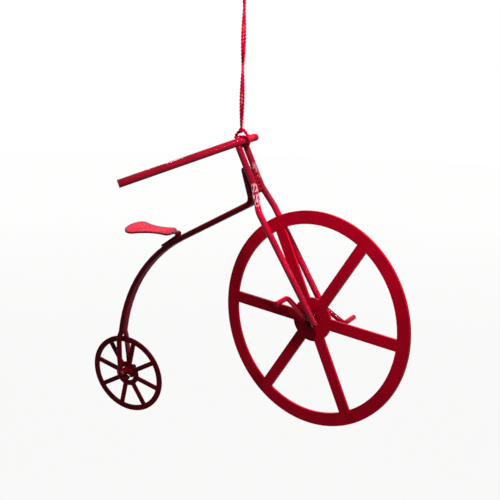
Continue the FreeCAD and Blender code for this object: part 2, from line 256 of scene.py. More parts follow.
def one_vertex(spot):
    """A new mesh of a single selected vertex, in edit mode."""
    alone()
    bpy.ops.mesh.primitive_plane_add(size=MM)
    bpy.ops.object.mode_set(mode="EDIT")
    bpy.ops.mesh.merge(type="CENTER")
    bpy.ops.transform.translate(value=spot)
    return bpy.context.object


def drawn_line(route):
    """A line through (point, bend radius) pairs in millimetres, drawn by extruding and
    spinning one vertex. It is left in edit mode with its last vertex selected."""
    steps_per_turn = 96
    points = [Vector(point) * MM for point, _radius in route]
    line = one_vertex(points[0])
    at = points[0]
    for index in range(1, len(points) - 1):
        here = points[index]
        back = (points[index - 1] - here).normalized()
        ahead = (points[index + 1] - here).normalized()
        half = back.angle(ahead) / 2
        radius = route[index][1] * MM
        first = here + back * radius / math.tan(half)
        last = here + ahead * radius / math.tan(half)
        centre = here + (back + ahead).normalized() * radius / math.sin(half)
        turn = math.pi - 2 * half
        bpy.ops.mesh.extrude_region_move(TRANSFORM_OT_translate={"value": first - at})
        bpy.ops.mesh.spin(steps=max(3, round(turn / math.tau * steps_per_turn)), angle=turn,
                          center=centre, axis=(last - centre).cross(first - centre).normalized())
        at = last
    bpy.ops.mesh.extrude_region_move(TRANSFORM_OT_translate={"value": points[-1] - at})
    return line


def widest(points, index, spare):
    """The largest bend radius that fits the run ahead of a corner, less a spare length."""
    here = Vector(points[index])
    back = Vector(points[index - 1]) - here
    ahead = Vector(points[index + 1]) - here
    return (ahead.length - spare) * math.tan(back.angle(ahead) / 2)


def bent_wire(route, thickness, matrix=HUNG):
    """A round wire along a bent line, its cut ends rounded over by the enamel."""
    wire = drawn_line(route)
    bpy.ops.object.mode_set(mode="OBJECT")
    bpy.ops.object.convert(target="CURVE")
    wire = bpy.context.object
    wire.data.bevel_depth = thickness / 2
    wire.data.bevel_resolution = 8
    wire.data.use_fill_caps = True
    bpy.ops.object.convert(target="MESH")
    wire = bpy.context.object
    outward(wire)
    applied(wire, "BEVEL", width=sizes("wires").cut_edge, segments=4, limit_method="ANGLE",
            angle_limit=math.radians(60))
    smooth(wire)
    return placed(wire, matrix)


def lumps(dabs, matrix=HUNG):
    """Solder that has run together from (centre, radius) dabs in millimetres."""
    grain = 0.10
    blobs = []
    for centre, radius in dabs:
        alone()
        bpy.ops.mesh.primitive_ico_sphere_add(subdivisions=3, radius=radius * MM,
                                              location=Vector(centre) * MM)
        blobs.append(bpy.context.object)
    solder = pick(*blobs)
    if len(blobs) > 1:
        bpy.ops.object.join()
    applied(solder, "REMESH", mode="VOXEL", voxel_size=grain * MM)
    applied(solder, "SMOOTH", factor=0.6, iterations=10)
    uneven = bpy.data.textures.new("solder_unevenness", "CLOUDS")
    uneven.noise_scale = 0.7 * MM
    applied(solder, "DISPLACE", texture=uneven, texture_coords="LOCAL", strength=0.16 * MM)
    outward(solder)
    smooth(solder, 80)
    return placed(solder, matrix @ solder.matrix_world)


# ------------------------------------------------------------------------------ materials


def new_group(name, inputs, outputs):
    """An empty shader node group with its sockets; returns it with its two end nodes."""
    group = bpy.data.node_groups.new(name, "ShaderNodeTree")
    for label, kind, default in inputs:
        socket = group.interface.new_socket(label, in_out="INPUT", socket_type=kind)
        if default is not None:
            socket.default_value = default
    for label, kind in outputs:
        group.interface.new_socket(label, in_out="OUTPUT", socket_type=kind)
    return group, group.nodes.new("NodeGroupInput"), group.nodes.new("NodeGroupOutput")


def node(tree, kind, links=(), **settings):
    """Adds a node, sets its properties and links (from socket, to input name or index)."""
    made = tree.nodes.new(kind)
    for key, value in settings.items():
        setattr(made, key, value)
    for source, target in links:
        if hasattr(source, "is_output"):
            tree.links.new(source, made.inputs[target])
        else:
            made.inputs[target].default_value = source
    return made


def ramp(tree, source, low, high):
    """A soft step from 0 at low to 1 at high."""
    step = node(tree, "ShaderNodeMapRange", [(source, "Value"), (low, "From Min"),
                                            (high, "From Max")], interpolation_type="SMOOTHSTEP")
    return step.outputs["Result"]


def remap(tree, source, low, high, least, most):
    """A value between low and high carried evenly to one between least and most."""
    carried = node(tree, "ShaderNodeMapRange", [
        (source, "Value"), (low, "From Min"), (high, "From Max"), (least, "To Min"),
        (most, "To Max")])
    return carried.outputs["Result"]


def maths(tree, operation, first, second):
    """Two values put together by one of the maths node's operations."""
    return node(tree, "ShaderNodeMath", [(first, 0), (second, 1)], operation=operation).outputs[0]


def blend_colour(tree, factor, first, second):
    """Two colours mixed by a factor."""
    mix = node(tree, "ShaderNodeMix", data_type="RGBA")
    for source, target in ((factor, 0), (first, 6), (second, 7)):
        if hasattr(source, "is_output"):
            tree.links.new(source, mix.inputs[target])
        else:
            mix.inputs[target].default_value = source
    return mix.outputs[2]


def enamel_coat():
    """Dipped enamel: colour that drifts with its thickness, orange peel, small pits and
    bubbles in patches, and slightly duller areas."""
    if "enamel_coat" in bpy.data.node_groups:
        return bpy.data.node_groups["enamel_coat"]
    group, start, end = new_group(
        "enamel_coat",
        [("Position", "NodeSocketVector", None),
         ("Colour", "NodeSocketColor", (0.5, 0, 0, 1)),
         ("Thick Colour", "NodeSocketColor", (0.3, 0, 0, 1)),
         ("Roughness", "NodeSocketFloat", 0.2),
         ("Bubbles", "NodeSocketFloat", 0.5)],
        [("Colour", "NodeSocketColor"), ("Roughness", "NodeSocketFloat"),
         ("Normal", "NodeSocketVector")])
    spot = start.outputs["Position"]
    drift = node(group, "ShaderNodeTexNoise", [(spot, "Vector"), (90, "Scale"), (3, "Detail")])
    mottle = node(group, "ShaderNodeTexNoise", [(spot, "Vector"), (260, "Scale"), (2, "Detail")])
    patches = node(group, "ShaderNodeTexNoise", [(spot, "Vector"), (130, "Scale"), (2, "Detail")])
    bubbles = node(group, "ShaderNodeTexVoronoi", [(spot, "Vector"), (1500, "Scale")])
    tint = blend_colour(group, ramp(group, drift.outputs["Fac"], 0.38, 0.66),
                        start.outputs["Colour"], start.outputs["Thick Colour"])
    shade = remap(group, mottle.outputs["Fac"], 0.3, 0.7, 0.95, 1.05)
    toned = node(group, "ShaderNodeVectorMath", [(tint, 0)], operation="SCALE")
    group.links.new(shade, toned.inputs["Scale"])
    group.links.new(toned.outputs["Vector"], end.inputs["Colour"])
    dull = remap(group, mottle.outputs["Fac"], 0.35, 0.75, 0.9, 1.25)
    group.links.new(maths(group, "MULTIPLY", dull, start.outputs["Roughness"]),
                    end.inputs["Roughness"])
    peel = node(group, "ShaderNodeTexNoise", [(spot, "Vector"), (260, "Scale"), (1, "Detail")])
    skin = node(group, "ShaderNodeBump", [(peel.outputs["Fac"], "Height"), (0.12, "Strength"),
                                          (0.08 * MM, "Distance")])
    where = maths(group, "MULTIPLY", ramp(group, patches.outputs["Fac"], 0.56, 0.66),
                  start.outputs["Bubbles"])
    dots = maths(group, "MULTIPLY", ramp(group, bubbles.outputs["Distance"], 0.45, 0.1), where)
    grit = node(group, "ShaderNodeBump", [(dots, "Height"), (0.8, "Strength"),
                                          (0.06 * MM, "Distance"),
                                          (skin.outputs["Normal"], "Normal")])
    group.links.new(grit.outputs["Normal"], end.inputs["Normal"])
    return group


def edge_wear():
    """A mask that is 1 where a surface turns a sharp edge, broken up by noise."""
    if "edge_wear" in bpy.data.node_groups:
        return bpy.data.node_groups["edge_wear"]
    group, start, end = new_group(
        "edge_wear",
        [("Position", "NodeSocketVector", None), ("Reach", "NodeSocketFloat", 0.3 * MM),
         ("Break Up", "NodeSocketFloat", 0.4)],
        [("Mask", "NodeSocketFloat")])
    rounded = node(group, "ShaderNodeBevel", [(start.outputs["Reach"], "Radius")], samples=6)
    true = node(group, "ShaderNodeNewGeometry")
    apart = node(group, "ShaderNodeVectorMath", [(rounded.outputs["Normal"], 0),
                                                 (true.outputs["Normal"], 1)],
                 operation="DOT_PRODUCT")
    turned = ramp(group, apart.outputs["Value"], 0.995, 0.90)
    chips = node(group, "ShaderNodeTexNoise", [(start.outputs["Position"], "Vector"),
                                               (900, "Scale"), (3, "Detail")])
    kept = remap(group, chips.outputs["Fac"], 0.35, 0.6, 0.0, 1.0)
    loss = maths(group, "MULTIPLY", start.outputs["Break Up"], kept)
    mask = maths(group, "MULTIPLY", turned, maths(group, "SUBTRACT", 1.0, loss))
    group.links.new(mask, end.inputs["Mask"])
    return group


def thin_patch():
    """A mask of painted highlight streaks about a centre, fading out towards its reach."""
    if "thin_patch" in bpy.data.node_groups:
        return bpy.data.node_groups["thin_patch"]
    group, start, end = new_group(
        "thin_patch",
        [("Position", "NodeSocketVector", None), ("Centre", "NodeSocketVector", None),
         ("Reach", "NodeSocketFloat", 3 * MM), ("Fineness", "NodeSocketFloat", 1300),
         ("Share", "NodeSocketFloat", 0.6)],
        [("Mask", "NodeSocketFloat")])
    apart = node(group, "ShaderNodeVectorMath", [(start.outputs["Position"], 0),
                                                 (start.outputs["Centre"], 1)],
                 operation="DISTANCE")
    inside = maths(group, "DIVIDE", apart.outputs["Value"], start.outputs["Reach"])
    drawn = node(group, "ShaderNodeMapping", [(start.outputs["Position"], "Vector"),
                                              ((1, 1, 0.3), "Scale")])
    streaks = node(group, "ShaderNodeTexNoise", [(drawn.outputs["Vector"], "Vector"),
                                                 (start.outputs["Fineness"], "Scale"),
                                                 (2, "Detail")])
    mask = maths(group, "MULTIPLY", ramp(group, inside, 1.0, 0.7),
                 ramp(group, streaks.outputs["Fac"], 0.46, 0.58))
    group.links.new(maths(group, "MULTIPLY", mask, start.outputs["Share"]), end.inputs["Mask"])
    return group


def scaled(colour, share):
    """A colour made darker or lighter."""
    return (colour[0] * share, colour[1] * share, colour[2] * share, 1)


def enamel(name, colour, edge_colour, roughness=0.16, thick=0.72, bubbles=0.4, specular=0.06,
           reach=0.25, shade_above=None, gloss=(0.0, 0.1), thin=()):
    """Red dipped enamel over metal, with a clear gloss of some weight and roughness. It is
    painted darker as shade above two given heights, and has painted highlight streaks, pale
    and metallic, about each listed (centre, reach, fineness, share)."""
    if name in bpy.data.materials:
        return bpy.data.materials[name]
    made = bpy.data.materials.new(name)
    made.use_nodes = True
    tree = made.node_tree
    tree.nodes.clear()
    out = node(tree, "ShaderNodeOutputMaterial")
    shader = node(tree, "ShaderNodeBsdfPrincipled", [(specular, "Specular IOR Level")])
    place = node(tree, "ShaderNodeTexCoord")
    coat = node(tree, "ShaderNodeGroup", node_tree=enamel_coat())
    wear = node(tree, "ShaderNodeGroup", node_tree=edge_wear())
    tree.links.new(place.outputs["Object"], coat.inputs["Position"])
    tree.links.new(place.outputs["Object"], wear.inputs["Position"])
    coat.inputs["Colour"].default_value = colour
    coat.inputs["Thick Colour"].default_value = scaled(colour, thick)
    coat.inputs["Roughness"].default_value = roughness
    coat.inputs["Bubbles"].default_value = bubbles
    wear.inputs["Reach"].default_value = reach * MM
    tint = blend_colour(tree, wear.outputs["Mask"], coat.outputs["Colour"], edge_colour)
    # Painted shade: the colour turns darker above the given heights.
    if shade_above:
        apart = node(tree, "ShaderNodeSeparateXYZ", [(place.outputs["Object"], 0)])
        tint = blend_colour(tree, ramp(tree, apart.outputs["Z"], *shade_above), tint,
                            scaled(colour, 0.42))
    for label, amount in zip(("Coat Weight", "Coat Roughness"), gloss):
        shader.inputs[label].default_value = amount
    highlight_mask = None
    for centre, *amounts in thin:
        patch = node(tree, "ShaderNodeGroup", node_tree=thin_patch())
        tree.links.new(place.outputs["Object"], patch.inputs["Position"])
        patch.inputs["Centre"].default_value = centre
        for amount, label in zip(amounts, ("Reach", "Fineness", "Share")):
            patch.inputs[label].default_value = amount
        mask = patch.outputs["Mask"]
        highlight_mask = maths(tree, "MAXIMUM", highlight_mask, mask) if highlight_mask else mask
    # Painted highlight: pale metallic streaks mixed into the colour.
    if highlight_mask:
        tree.links.new(highlight_mask, shader.inputs["Metallic"])
        tint = blend_colour(tree, highlight_mask, tint, scaled(sizes("finish").solder, 1))
    tree.links.new(tint, shader.inputs["Base Color"])
    tree.links.new(coat.outputs["Roughness"], shader.inputs["Roughness"])
    tree.links.new(coat.outputs["Normal"], shader.inputs["Normal"])
    tree.links.new(shader.outputs["BSDF"], out.inputs["Surface"])
    return made


def finished(kind):
    """The enamel of one of the FINISHES, its worn edges a share of its own colour."""
    looks = dict(FINISHES[kind])
    colour = getattr(sizes("finish"), looks.pop("colour", kind))
    return enamel(kind + "_red_enamel", colour, scaled(colour, looks.pop("edge", 1.0)), **looks)


def yarn_fibres():
    """Dyed yarn: long fibres along each ply that vary in tone, grooves and fibres in its bump,
    lighter on loose hairs.
    """
    if "yarn_fibres" in bpy.data.materials:
        return bpy.data.materials["yarn_fibres"]
    colour = sizes("finish").yarn
    made = bpy.data.materials.new("yarn_fibres")
    made.use_nodes = True
    tree = made.node_tree
    tree.nodes.clear()
    out = node(tree, "ShaderNodeOutputMaterial")
    shader = node(tree, "ShaderNodeBsdfPrincipled", [(0.0, "Specular IOR Level")])
    place = node(tree, "ShaderNodeTexCoord")
    along = node(tree, "ShaderNodeMapping", [(place.outputs["UV"], "Vector"),
                                             ((30, 7, 1), "Scale"), ((0, 0, 0.6), "Rotation")])
    fibres = node(tree, "ShaderNodeTexNoise", [(along.outputs["Vector"], "Vector"),
                                               (4, "Scale"), (3, "Detail")])
    drift = node(tree, "ShaderNodeTexNoise", [(place.outputs["Object"], "Vector"),
                                              (260, "Scale"), (2, "Detail")])
    grooves = node(tree, "ShaderNodeTexWave", [(along.outputs["Vector"], "Vector"),
                                               (1.2, "Scale"), (2.0, "Distortion")])
    tint = blend_colour(tree, ramp(tree, fibres.outputs["Fac"], 0.35, 0.65),
                        scaled(colour, 0.55), colour)
    lighter = blend_colour(tree, ramp(tree, drift.outputs["Fac"], 0.5, 0.72), tint,
                           (min(1, colour[0] * 1.3), 0.02, 0.05, 1))
    tree.links.new(lighter, shader.inputs["Base Color"])
    tree.links.new(remap(tree, fibres.outputs["Fac"], 0.0, 1.0, 0.55, 0.85),
                   shader.inputs["Roughness"])
    height = maths(tree, "ADD", fibres.outputs["Fac"], grooves.outputs["Fac"])
    lift = node(tree, "ShaderNodeBump", [(height, "Height"), (0.6, "Strength"),
                                         (0.05 * MM, "Distance")])
    tree.links.new(lift.outputs["Normal"], shader.inputs["Normal"])
    tree.links.new(shader.outputs["BSDF"], out.inputs["Surface"])
    return made


# ----------------------------------------------------------------------------- the pieces

WHEEL_ASIDE = 2.16
BLADE_CLEAR = 0.51
BLADE_HALF = (FRONT_RADIUS * math.tan(LEFT_UP) - WHEEL_ASIDE
              + (FRONT_SHEET + WIRES["fork"]) / 2 + BLADE_CLEAR)
SHOULDER_LOW = FRONT_RADIUS + 1.65
SHOULDER_HIGH = FRONT_RADIUS + 9.15
BLADE_FOOT = -3.3
BLADE_BEND = 6
LEFT_TOE = 0.9
NECK_HALF = 1.92
NECK_X = 0.9
NECK_LEAN = 1.6
FORK_TOP = BAR_BEND.z - (WIRES["bar"] - FIT_GAP) / 2
AXLE_X = -(WIRES["fork"] + WIRES["crank"] + FIT_GAP) / 2
FRONT_HUB = Vector((AXLE_X + 0.26, -WHEEL_ASIDE, -1.42))
CRANK = 8.8
RIGHT_CRANK_DOWN = 69.5
LEFT_CRANK_DOWN = 60
PEDAL_PIN = 6.6
# Height above which the stays take the painted light.
PAINTED_LIGHT_FOOT = -74 * MM
REAR_SPOT = Vector((-95.6, 0, 8.05))
REAR_SLACK = Vector((-1.5, 0, -1.3))
REAR_TURN = math.radians(11.6)
REAR_LEAN = math.radians(96.66)
RISE = upright(-31.5)
BEHIND = Vector((-RISE.z, 0, RISE.x))
BESIDE = REAR_SPOT + BEHIND * ((WIRES["stay"] + WIRES["rear_pin"] + FIT_GAP) / 2)
ARCH = Vector((-67.7, 0, FRONT_RADIUS + 8.75))
ELBOW = Vector((-3.3, 0, FRONT_RADIUS + 5.75))
CLOSE = (WIRES["stay"] + FIT_GAP) / 2
HEAD_Z = FRONT_RADIUS + 16.15
NECK_SHARE = (HEAD_Z - SHOULDER_HIGH) / (FORK_TOP - SHOULDER_HIGH)
HEEL_ASIDE = 2.0
FOOT_ASIDE = 2.5
APART = (WIRES["fork"] + WIRES["stay"] + FIT_GAP) / 2
HEAD_X = NECK_X + NECK_LEAN * NECK_SHARE - math.sqrt(APART ** 2 - (NECK_HALF - CLOSE) ** 2)

# How each enamel differs beyond its colour, by the name of that colour. One enamel takes the
# saddle's colour, as a painted highlight on the handlebar's far arm. Two heights give where
# painted shade darkens an enamel above them. A list of painted highlight patches gives for
# each: centre, reach, fineness of the streaks, and share.
FINISHES = {
    # Painted shade darkens the upper necks above the given heights.
    "bright": {"edge": 0.8, "roughness": 0.1, "specular": 0.07, "shade_above": (-78 * MM, -70 * MM),
               # Painted highlight streaks on the near shoulder and the far neck.
               "thin": [(HUNG @ (Vector((0.8, -3.2, SHOULDER_HIGH - 2.2)) * MM), 4.2 * MM,
                         1500, 1.0),
                        (HUNG @ (Vector((1.8, 1.9, SHOULDER_HIGH + 5.2)) * MM), 3.2 * MM,
                         2600, 0.22)]},
    # Painted shade: the handlebar's darker enamel, with a real clear gloss.
    "bar": {"edge": 0.8, "roughness": 0.08, "specular": 0.04, "gloss": (0.08, 0.04)},
    # Painted highlight on the rear pin's ends.
    "pin": {"edge": 0.9, "roughness": 0.5, "bubbles": 0.0, "specular": 0.02},
    # Painted highlight: the handlebar's far arm in the saddle's lighter colour.
    "thin": {"colour": "saddle", "edge": 0.9, "roughness": 0.6, "bubbles": 0.0, "specular": 0.0},
    "wheel": {"edge": 0.9, "roughness": 0.3, "thick": 0.85, "specular": 0.03, "bubbles": 0.1},
    # Painted shade: the darker copy of the enamel.
    "dark": {"roughness": 0.2, "thick": 0.6, "specular": 0.02},
    # Painted sheen on the left stay, with painted shade above the given heights.
    "sheen": {"roughness": 0.25, "thick": 0.85, "specular": 0.06,
              "shade_above": (-95 * MM, -86 * MM)},
    # Painted light on the stays by the neck, painted shade on the saddle's sides and rim.
    "stem": {"roughness": 0.25, "thick": 0.8, "specular": 0.04},
    # Painted light and reflection: the saddle's lighter, pinker enamel.
    "saddle": {"edge": 0.35, "roughness": 0.5, "thick": 0.92, "bubbles": 0.0, "specular": 0.05,
               "reach": 0.45},
}


def rear_wheel_place():
    """Where the rear wheel hangs, its own axis along z."""
    hub = HUNG @ ((REAR_SPOT + REAR_SLACK) * MM)
    return (Matrix.Translation(hub) @ Matrix.Rotation(REAR_TURN, 4, "Z")
            @ Matrix.Rotation(REAR_LEAN, 4, "X"))


class ORNAMENT_OT_fork(Operator):
    """Make the two fork blades, closed in above the wheel and bent up side by side"""
    bl_idname = "ornament.fork"
    bl_label = "Fork blades"

    def execute(self, context):
        wires = sizes("wires")
        for side, sign, toe in (("right", -1, 0), ("left", 1, LEFT_TOE)):
            blade = bent_wire([
                ((0, sign * BLADE_HALF - toe, BLADE_FOOT), 0),
                ((0, sign * BLADE_HALF, SHOULDER_LOW), BLADE_BEND),
                ((NECK_X, sign * NECK_HALF, SHOULDER_HIGH), BLADE_BEND),
                ((NECK_X + NECK_LEAN, sign * NECK_HALF, FORK_TOP), 0),
            ], wires.fork)
            handed_over(blade, side + "_blade", "frame", "red_enamel", finished("bright"),
                        "fork_blade_" + side)
        return {"FINISHED"}


class ORNAMENT_OT_backbone(Operator):
    """Make the two backbone stays, one long arch that parts at its foot"""
    bl_idname = "ornament.backbone"
    bl_label = "Backbone stays"

    def execute(self, context):
        wires = sizes("wires")
        spread = BESIDE + RISE * 5.3
        heel = BESIDE + RISE * 13.8
        end = BESIDE - RISE * 3.3
        split = heel + (ARCH - heel).normalized() * 2.2
        for side, sign in SIDES:
            points = [
                (HEAD_X, sign * CLOSE, HEAD_Z),
                (ELBOW.x, sign * CLOSE, ELBOW.z),
                (ARCH.x, sign * CLOSE, ARCH.z),
                (split.x, sign * CLOSE, split.z),
                (heel.x, sign * HEEL_ASIDE, heel.z),
                (spread.x, sign * FOOT_ASIDE, spread.z),
                (end.x, sign * FOOT_ASIDE, end.z),
            ]
            arch = widest(points, 2, WIRES["stay"] / 2)
            bends = (0, 3, arch, WIRES["stay"], 3 * WIRES["stay"], 4 * WIRES["stay"], 0)
            stay = bent_wire(list(zip(points, bends)), wires.stay)
            # Painted shade on the right stay, a painted sheen on the left stay.
            finish = finished("dark") if sign < 0 else finished("sheen")
            handed_over(stay, side + "_stay", "frame", "red_enamel", finish,
                        "backbone_stay_" + side)
            # Painted light: the stays' upper part beside the neck takes a lighter enamel.
            painted(stay, finished("stem"), lambda face: face.center.z > PAINTED_LIGHT_FOOT)
        return {"FINISHED"}


class ORNAMENT_OT_handlebar(Operator):
    """Make the handlebar, one rod bent once in the middle"""
    bl_idname = "ornament.handlebar"
    bl_label = "Handlebar"

    def execute(self, context):
        bar = bent_wire([
            (tuple(BAR_BEND + arm_end(-1) * ARM), 0),
            (tuple(BAR_BEND), 2.4),
            (tuple(BAR_BEND + arm_end(1) * ARM), 0),
        ], sizes("wires").bar)
        # Painted shade: the handlebar takes a darker copy of the enamel.
        handed_over(bar, "bar", "frame", "red_enamel", finished("bar"), "handlebar")
        # Painted highlight: the far arm beyond 6 mm from the bend takes the saddle's colour.
        bend, away = HUNG @ (BAR_BEND * MM), HANG @ arm_end(1)
        painted(bar, finished("thin"), lambda face: (face.center - bend).dot(away) > 6 * MM)
        return {"FINISHED"}


class ORNAMENT_OT_cranks(Operator):
    """Make the axle, both cranks and both pedal pins from one wire"""
    bl_idname = "ornament.cranks"
    bl_label = "Axle and cranks"

    def execute(self, context):
        right = Vector((AXLE_X, -BLADE_HALF, 0))
        left = Vector((AXLE_X, BLADE_HALF - AXLE_X + FIT_GAP, 0))
        right_end = right + upright(90 - RIGHT_CRANK_DOWN) * CRANK
        left_end = left - upright(90 - LEFT_CRANK_DOWN) * CRANK
        pin = Vector((0, PEDAL_PIN, 0))
        cranks = bent_wire([
            (tuple(right_end - pin), 0),
            (tuple(right_end), 1.2),
            (tuple(right), 1.2),
            (tuple(left), 1.2),
            (tuple(left_end), 1.2),
            (tuple(left_end + pin), 0),
        ], sizes("wires").crank)
        handed_over(cranks, "cranks", "frame", "red_enamel", finished("bright"), "crank_axle")
        return {"FINISHED"}


class ORNAMENT_OT_rear_axle(Operator):
    """Make the short rear axle"""
    bl_idname = "ornament.rear_axle"
    bl_label = "Rear axle"

    def execute(self, context):
        half = Vector((0, 3.6, 0))
        pin = bent_wire([
            (tuple(REAR_SPOT - half), 0),
            (tuple(REAR_SPOT + half), 0),
        ], sizes("wires").rear_pin)
        # Painted shade: the rear pin takes the darker copy of the enamel.
        handed_over(pin, "rear_pin", "frame", "red_enamel", finished("dark"), "rear_axle")
        middle = HUNG @ (REAR_SPOT * MM)
        # Painted highlight: the pin's ends, more than 3 mm from its middle, take pale coral.
        painted(pin, finished("pin"), lambda face: (face.center - middle).length > 3.0 * MM)
        return {"FINISHED"}


def about(turn, radius):
    """An offset in the bicycle's side plane, at an angle in radians."""
    return Vector((radius * math.cos(turn), 0, radius * math.sin(turn)))


class ORNAMENT_OT_solder(Operator):
    """Make the lumps of solder that hold the wires together"""
    bl_idname = "ornament.solder"
    bl_label = "Solder joints"

    def execute(self, context):
        # Painted shade: the collars, the flange, the foot joints and the web between the necks
        # take the darker copy of the enamel.
        collar = lumps([(tuple(FRONT_HUB + about(turn, 1.2)), 1.18)
                        for turn in (0.3, 1.2, 2.1, 3.1, 4.0, 4.9, 5.7)])
        handed_over(collar, "hub_collar", "frame", "red_enamel", finished("dark"))
        middle = FRONT_HUB + Vector((-1.1, 2.0, -0.4))
        flange = lumps([(tuple(middle + about(turn, 2.3)), 0.85)
                        for turn in (0.2, 1.0, 1.9, 2.8, 3.6, 4.5, 5.4)]
                       + [(tuple(middle), 1.6)])
        handed_over(flange, "hub_flange", "frame", "red_enamel", finished("dark"))
        around = [math.radians(angle) for angle in range(-12, 265, 21)]
        dabs = [((1.9 * math.cos(turn), 1.9 * math.sin(turn), 0), 0.95) for turn in around]
        dabs += [((0.9 * math.cos(turn), 0.9 * math.sin(turn), 0), 0.9) for turn in around[2:10]]
        collar = lumps(dabs, matrix=rear_wheel_place())
        handed_over(collar, "rear_collar", "frame", "red_enamel", finished("dark"))
        neck = NECK_X + NECK_LEAN * NECK_SHARE
        for side, sign in SIDES:
            hub = sign * BLADE_HALF
            joint = lumps([
                ((AXLE_X * 0.52, hub, 1.15), 0.62), ((AXLE_X * 0.50, hub, -1.1), 0.60),
                ((AXLE_X * 0.45, hub - sign * 0.6, 1.0), 0.5),
                ((AXLE_X * 0.45, hub + sign * 0.6, -0.9), 0.5),
            ])
            handed_over(joint, side + "_hub_solder", "frame", "red_enamel", finished("bright"))
            foot = BESIDE - BEHIND * 0.95 + Vector((0, sign * FOOT_ASIDE, 0))
            joint = lumps([(tuple(foot + RISE * 0.7), 0.55), (tuple(foot - RISE * 0.7), 0.52)])
            handed_over(joint, side + "_foot_solder", "frame", "red_enamel", finished("dark"))
        head = lumps([
            (((HEAD_X + neck) / 2, sign * (CLOSE + 0.5), HEAD_Z - drop), 0.62)
            for sign in (-1, 1) for drop in (0.6, 1.5, 2.5)
        ] + [((HEAD_X + ahead, side, HEAD_Z - drop), radius) for ahead, side, drop, radius in (
            (0.4, 0, 0.7, 0.75), (0.3, 0, 1.8, 0.6), (0.1, -CLOSE, 0.1, 1.08),
            (0.1, CLOSE, 0.1, 1.08), (0.7, -CLOSE - 0.3, 0.6, 0.9),
            (0.5, -CLOSE - 0.2, 3.4, 0.75))])
        handed_over(head, "head_solder", "frame", "red_enamel", finished("bright"))
        web = lumps([((NECK_X + 0.1 * rise, sign * 0.7, SHOULDER_HIGH + rise), 0.95)
                     for sign in (-1, 1) for rise in (-0.9, 0.4, 1.7, 3.0, 4.2)])
        handed_over(web, "neck_solder", "frame", "red_enamel", finished("dark"))
        crown = lumps([
            ((NECK_X + NECK_LEAN - 0.1, sign * (NECK_HALF - 0.1), FORK_TOP + 0.1), 1.0)
            for sign in (-1, 1)
        ])
        handed_over(crown, "crown_solder", "frame", "red_enamel", finished("bright"))
        return {"FINISHED"}


def disc(radius, height, sides=160):
    """An upright cylinder about the origin, in millimetres."""
    alone()
    bpy.ops.mesh.primitive_cylinder_add(vertices=sides, radius=radius * MM, depth=height * MM)
    return bpy.context.object


def bar_across(long, wide, high, degrees):
    """A box across the wheel at an angle, in millimetres."""
    alone()
    bpy.ops.mesh.primitive_cube_add(size=1, rotation=(0, 0, math.radians(degrees)))
    box = bpy.context.object
    box.scale = (long * MM, wide * MM, high * MM)
    bpy.ops.object.transform_apply(location=False, rotation=True, scale=True)
    return box


def without(piece, tool):
    """Cuts one closed shape out of another and clears the tool away."""
    applied(piece, "BOOLEAN", operation="DIFFERENCE", solver="EXACT", object=tool)
    bpy.data.objects.remove(tool, do_unlink=True)
    return piece


def sheet_wheel(radius, rim, hub, hole, spoke, spokes, phase, thick, matrix):
    """A wheel sawn from sheet: windows between the spokes with rounded corners, a loose
    round hole, and all edges rounded by the enamel."""
    windows = disc(radius - rim, 6)
    without(windows, disc(hub, 9, 96))
    for number in range(spokes // 2):
        without(windows, bar_across(2.2 * radius, spoke, 12, phase + number * 360 / spokes))
    corners = sizes("sheets").window_corner
    outward(windows)
    applied(windows, "BEVEL", width=corners, segments=5, limit_method="ANGLE",
            angle_limit=math.radians(40))
    wheel = disc(radius, thick / MM)
    without(wheel, windows)
    without(wheel, disc(hole, 9, 72))
    outward(wheel)
    applied(wheel, "BEVEL", width=sizes("sheets").edge, segments=3, limit_method="ANGLE",
            angle_limit=math.radians(40), harden_normals=False)
    smooth(wheel, 35)
    applied(wheel, "WEIGHTED_NORMAL", keep_sharp=True, weight=100)
    return placed(wheel, matrix)


class ORNAMENT_OT_wheels(Operator):
    """Make the two flat wheels, hanging loose on their axles"""
    bl_idname = "ornament.wheels"
    bl_label = "Wheels"

    def execute(self, context):
        across = Matrix.Rotation(math.radians(90), 4, "X")
        hub = HUNG @ (FRONT_HUB * MM)
        front = sheet_wheel(
            radius=FRONT_RADIUS, rim=4.26, hub=7.1, hole=2.6, spoke=3.7, spokes=6, phase=-3.4,
            thick=sizes("sheets").front, matrix=Matrix.Translation(hub) @ across)
        handed_over(front, "big_wheel", "front_wheel_body", "red_enamel", finished("wheel"),
                    "front_wheel")
        rear = sheet_wheel(
            radius=15.8, rim=2.15, hub=5.0, hole=2.95, spoke=1.8, spokes=8, phase=29.0,
            thick=sizes("sheets").rear, matrix=rear_wheel_place())
        # Painted shade: the rear wheel takes the darker copy of the enamel.
        handed_over(rear, "small_wheel", "rear_wheel_body", "red_enamel", finished("dark"),
                    "rear_wheel")
        return {"FINISHED"}


